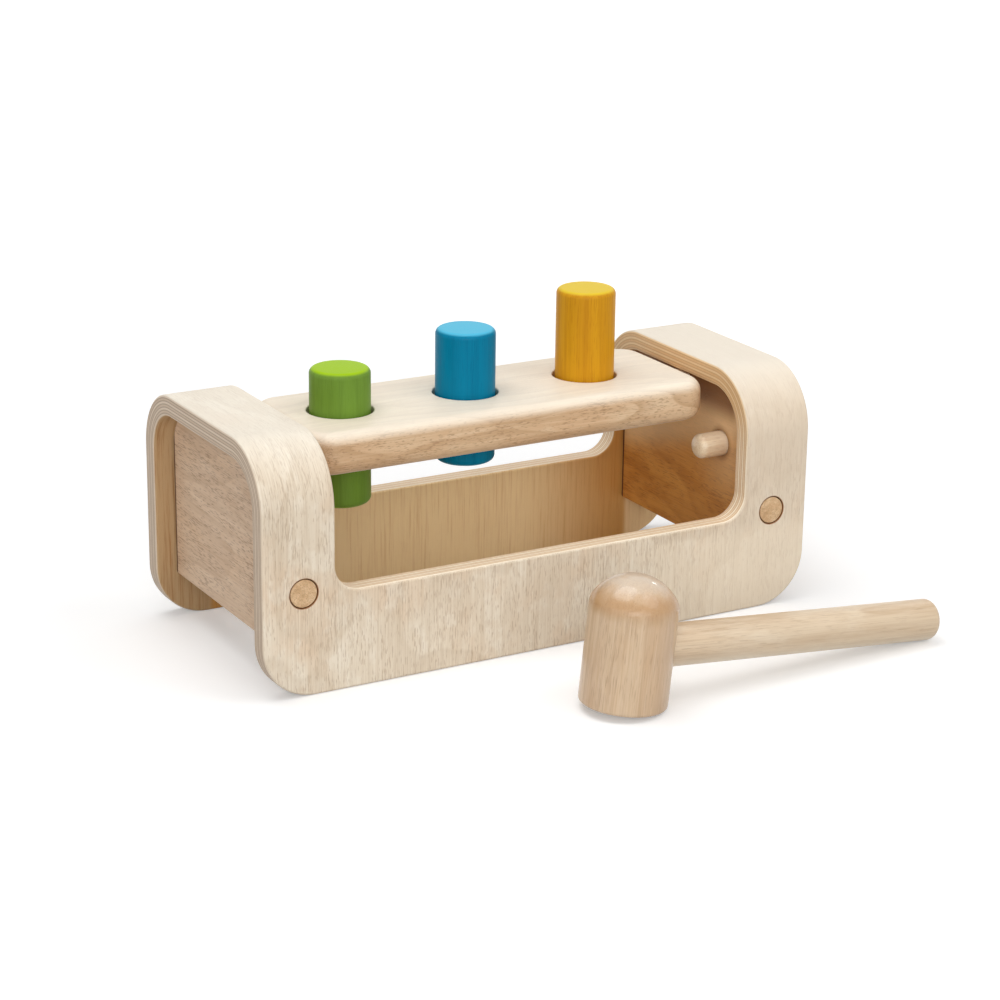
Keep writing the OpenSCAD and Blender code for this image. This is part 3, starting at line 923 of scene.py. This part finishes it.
# It leans by the slope between the middles of the two roundings it rests on, which differ in radius
restRun = mallet["handleReach"] - mallet["handleRim"] - mallet["radius"] + mallet["edge"]
restRise = mallet["handleHeight"] - mallet["handleRadius"] + mallet["handleRim"] - mallet["edge"]
lean = math.degrees(
    math.atan2(restRise, restRun)
    - math.asin((mallet["handleRim"] - mallet["edge"]) / math.hypot(restRun, restRise))
)


# Stands the mallet on the floor, on the rim of its head and the end of its handle
def standMallet(points):
    local = points + np.array([mallet["edge"] - mallet["radius"], 0, -mallet["edge"]])
    return placed(local, (0, lean, mallet["turn"]), (mallet["x"], mallet["y"], mallet["edge"]))


# The head's side view: under the dome the height is the lower of the shoulder's arc and the dome's,
# softly joined, and below them come the straight side and the eased rim of the flat face
def malletHeadProfile():
    full, shoulder, dome, edge = (mallet[key] for key in ("radius", "shoulder", "dome", "edge"))
    radius = full * np.sin(np.radians(line(1, 90, 40)))  # closest near the rim, where it is steep
    shoulderArc = np.sqrt(shoulder ** 2 - np.clip(radius - full + shoulder, 0, None) ** 2)
    onShoulder = mallet["height"] - shoulder + shoulderArc
    onDome = mallet["height"] - dome + np.sqrt(dome ** 2 - radius ** 2)
    soft, level = mallet["soft"], 50  # the level is near both, and keeps the powers small
    powers = np.exp((level - onShoulder) / soft) + np.exp((level - onDome) / soft)
    top = level - soft * np.log(powers)
    low = arc(full - edge, edge, edge, -90, 0, 8)
    side = line((full, edge), (full, top[-1]), 5)[1:-1]
    return np.concatenate([low, side, np.stack([radius, top], axis=-1)[::-1]])


malletHead = makeMesh("malletHead", standMallet(turned(malletHeadProfile(), 128)))
handleProfile = barProfile(
    mallet["handleRadius"], mallet["handleDepth"] + mallet["handleReach"],
    mallet["edge"], mallet["handleRim"], mallet["handleCrown"],
)
handleStart = (-mallet["handleDepth"], 0, mallet["handleHeight"])
handleHole = turned(np.array([[mallet["holeRadius"], end] for end in mallet["holeSpan"]]), 96)
drill(malletHead, [standMallet(placed(handleHole, (0, 90, 0), handleStart))])
handleRows = standMallet(placed(turned(handleProfile, 96), (0, 90, 0), handleStart))
malletHandle = makeMesh("malletHandle", handleRows)
headLook = {
    **plainWood,
    "centre": (mallet["x"], mallet["y"], 0), "turn": (0, lean, mallet["turn"]), "seed": 51,
    "pale": (219, 191, 157), "mid": (209, 177, 142),
    "dark": (182, 145, 108), "light": (230, 206, 177),
    "poreColour": (156, 118, 84), "patchColour": (216, 178, 134),
    "patch": (0.09, 0.02), "patchStrength": 0.5,
    "figure": (0.06, 0.004), "figureCount": 8, "figureStrength": 0.32,
    "pore": (2.5, 0.14), "poreStrength": 0.3,
    "roughness": 0.36, "coat": 0.5, "coatRoughness": 0.08,
    "ring": ((184, 140, 92), 0.75), "ringStart": (39, 46.5), "ringEnd": (53.5, 47.5),
    # Painted sheen: the dome above the ring is paler and greyer
    "dome": ((214, 200, 183), 0.6), "domeSheenStart": (49, 55),
    "sway": 5.0, "swayNoise": (0.13, 0.13, 71),  # across, along, seed
}


# Where the side turns into the dome there is a darker ring, and above it the dome is paler and greyer,
# as a painted sheen. A noise sways their heights.
def dressHead(tree, grain, base):
    height = parted(tree, grain)[2]
    mottle = grainNoise(tree, grain, *headLook["swayNoise"])
    swayed = calculate(tree, "MULTIPLY_ADD", mottle, headLook["sway"], height)
    ring = rise(tree, swayed, *headLook["ringStart"])
    ring = product(tree, ring, rise(tree, swayed, *headLook["ringEnd"]))
    base = laid(tree, ring, base, headLook["ring"])
    return laid(tree, rise(tree, swayed, *headLook["domeSheenStart"]), base, headLook["dome"])


handleLook = {
    **headLook,
    "turn": (0, lean + 90, mallet["turn"]), "seed": 57,
    "pale": (227, 206, 178), "mid": (217, 193, 162),
    "dark": (184, 151, 114), "light": (240, 225, 201),
    "patchStrength": 0.2,
    "streak": (0.2, 0.009), "streakStrength": 0.45,
    "figure": (0.07, 0.006), "figureCount": 4, "figureStrength": 0.48,
    "fibreStrength": 0.2, "poreStrength": 0.2,
    "coat": 0.1,
    # Painted light thrown up from the floor: the handle is paler underneath
    "paintedUnderLight": ((255, 240, 216), 0.75), "underLightStart": 1,
}


# The handle is paler underneath, as painted light thrown up from the floor. In the grain's own space
# down is X.
def dressHandle(tree, grain, base):
    axis = -mallet["handleHeight"]
    start, end = axis + handleLook["underLightStart"], axis + mallet["handleRadius"]
    low = rise(tree, parted(tree, grain)[0], start, end)
    return laid(tree, low, base, handleLook["paintedUnderLight"])


malletHeadWood = woodMaterial("malletHeadWood", headLook, dressHead)
malletHandleWood = woodMaterial("malletHandleWood", handleLook, dressHandle)
finishPiece(malletHead, "mallet", malletHeadWood, "mallet_wood", "mallet_head")
finishPiece(malletHandle, "mallet", malletHandleWood, "mallet_wood", "mallet_handle")
print("mallet made")

# The hidden rings and screws keep their solids and get their finish. A noise is given by its across,
# along, seed and detail.
rubber = {
    "plain": (34, 33, 32), "clouded": (62, 60, 58), "cloudRange": (0.4, 0.75),
    "cloud": (0.9, 0.9, 61, 4.0), "fine": (0.9, 0.9, 61, 4.0),
    "roughness": 0.75, "relief": 0.03, "metallic": 0.0,
}
zinc = {
    "plain": (196, 196, 194), "clouded": (186, 182, 166), "cloudRange": (0.4, 0.7),
    "cloud": (0.3, 0.3, 68, 3.0), "fine": (0.6, 6.0, 67, 3.0), "turn": (90, 0, 0),
    "roughness": 0.35, "relief": 0.02, "metallic": 1.0,
}


# Near black rubber with dusty patches, or zinc that is brushed round the screw and faintly yellowed
def cloudedMaterial(name, look):
    material = newMaterial(name)
    tree = material.node_tree
    place = grainSpace(tree, look)
    fine = grainNoise(tree, place, *look["fine"])
    cloud = rise(tree, grainNoise(tree, place, *look["cloud"]), *look["cloudRange"])
    surfaceOf(material, look, mixed(tree, cloud, look["plain"], look["clouded"]), fine, fine)
    tree.nodes["Principled BSDF"].inputs["Metallic"].default_value = look["metallic"]
    return material


ringRubber, screwZinc = cloudedMaterial("ringRubber", rubber), cloudedMaterial("screwZinc", zinc)
for name, node in nodes.items():
    if name.startswith("grip_ring"):
        node.material_slots[0].material = ringRubber
    if name.startswith("screw"):
        node.material_slots[0].material = screwZinc
print("rings and screws dressed")

# The floor and the lamps, in metres and watts. Each lamp has a place, a size and a power.
studio = {
    "floorHalf": 3.0, "floorWhite": 0.85, "floorBounce": 0.58,
    "glowRange": (0.25, 1.1), "glowStrength": (0.25, 0.85),
    "worldLight": 0.28,
    "lamps": {
        "keyLamp": ((0.9, -0.9, 1.7), 1.3, 8.6),
        "frontLampLeft": ((-1.3, -1.6, 0.95), 1.8, 7),
        "frontLampRight": ((-0.2, -2.1, 0.9), 1.7, 10.5),
        "fillLamp": ((-0.95, -1.65, 0.66), 1.0, 4.3),
        "leftLamp": ((-1.8, -0.5, 0.7), 1.2, 2),
        "topLamp": ((-0.3, 0.2, 1.8), 1.4, 15.2),
        "sparkLamp": ((1.52, 0.8, 1.0), 0.17, 0.95),
    },
}
floor = addObject("floor", bpy.data.meshes.new("floor"))
reach = studio["floorHalf"]
floorCorners = [(-reach, -reach, 0), (reach, -reach, 0), (reach, reach, 0), (-reach, reach, 0)]
floor.data.from_pydata(floorCorners, [], [(0, 1, 2, 3)])


# A grey in the shader's own values
def grey(level):
    return (level, level, level, 1)


# The floor is white with a soft shadow where the camera or a reflection sees it, all white further
# off, and throws back less light on the wood
floorPaint = newMaterial("floorPaint")
tree = floorPaint.node_tree
tree.nodes.remove(tree.nodes["Principled BSDF"])
path = addNode(tree, "ShaderNodeLightPath")
seen = calculate(tree, "MAXIMUM", path.outputs["Is Camera Ray"], path.outputs["Is Glossy Ray"])
plain = addNode(tree, "ShaderNodeBsdfDiffuse", {"Color": grey(studio["floorBounce"])}).outputs[0]
bright = addNode(tree, "ShaderNodeBsdfDiffuse", {"Color": grey(studio["floorWhite"])}).outputs[0]
place = addNode(tree, "ShaderNodeTexCoord").outputs["Object"]
distance = addNode(tree, "ShaderNodeVectorMath", {0: place}, operation="LENGTH").outputs["Value"]
strength = between(tree, rise(tree, distance, *studio["glowRange"]), *studio["glowStrength"])
glow = addNode(tree, "ShaderNodeEmission", {"Color": grey(1), "Strength": strength}).outputs[0]
white = addNode(tree, "ShaderNodeAddShader", {0: bright, 1: glow}).outputs[0]
cover = addNode(tree, "ShaderNodeMixShader", {0: seen, 1: plain, 2: white}).outputs[0]
tree.links.new(cover, tree.nodes["Material Output"].inputs["Surface"])
floor.data.materials.append(floorPaint)

# The background is white where it is seen, and lights the bench less than that
world = bpy.data.worlds.new("studio")
bpy.context.scene.world = world
world.use_nodes = True
tree = world.node_tree
path = addNode(tree, "ShaderNodeLightPath")
seen = calculate(tree, "MAXIMUM", path.outputs["Is Camera Ray"], path.outputs["Is Transmission Ray"])
seen = calculate(tree, "MAXIMUM", seen, path.outputs["Is Glossy Ray"])
strength = between(tree, seen, studio["worldLight"], 1.0)
tree.nodes["Background"].inputs["Color"].default_value = grey(1)
tree.links.new(strength, tree.nodes["Background"].inputs["Strength"])

for name, (place, size, power) in studio["lamps"].items():
    light = bpy.data.lights.new(name, "AREA")
    light.shape, light.size, light.energy = "DISK", size, power
    lamp = addObject(name, light)
    lamp.location = place
    lamp.rotation_euler = Vector(place).to_track_quat("Z", "Y").to_euler()

# The camera stands away from the bench's middle, moved a little sideways and down. Angles in degrees.
view = {
    "azimuth": -29.879, "elevation": 18.427, "roll": 0.769, "lens": 97.77, "sensor": 36,
    "away": 1167.9, "sideways": 8.47, "upwards": -3.23, "middleHeight": 52,
}
azimuth, elevation, roll = (math.radians(view[key]) for key in ("azimuth", "elevation", "roll"))
level = math.cos(elevation)
back = Vector((math.sin(azimuth) * level, -math.cos(azimuth) * level, math.sin(elevation)))
right = Vector((0, 0, 1)).cross(back).normalized()
up = back.cross(right)
moved = back * view["away"] + right * view["sideways"] + up * view["upwards"]
place = Vector((0, 0, view["middleHeight"])) + moved
imageRight = right * math.cos(roll) + up * math.sin(roll)
imageUp = up * math.cos(roll) - right * math.sin(roll)
turn = Matrix((imageRight, imageUp, back)).transposed().to_4x4()
camera = addObject("camera", bpy.data.cameras.new("camera"))
camera.data.lens, camera.data.sensor_width = view["lens"], view["sensor"]
camera.matrix_world = Matrix.Translation(place * mm) @ turn
bpy.context.scene.camera = camera
bpy.context.scene.view_settings.view_transform = "Standard"
print("studio made")
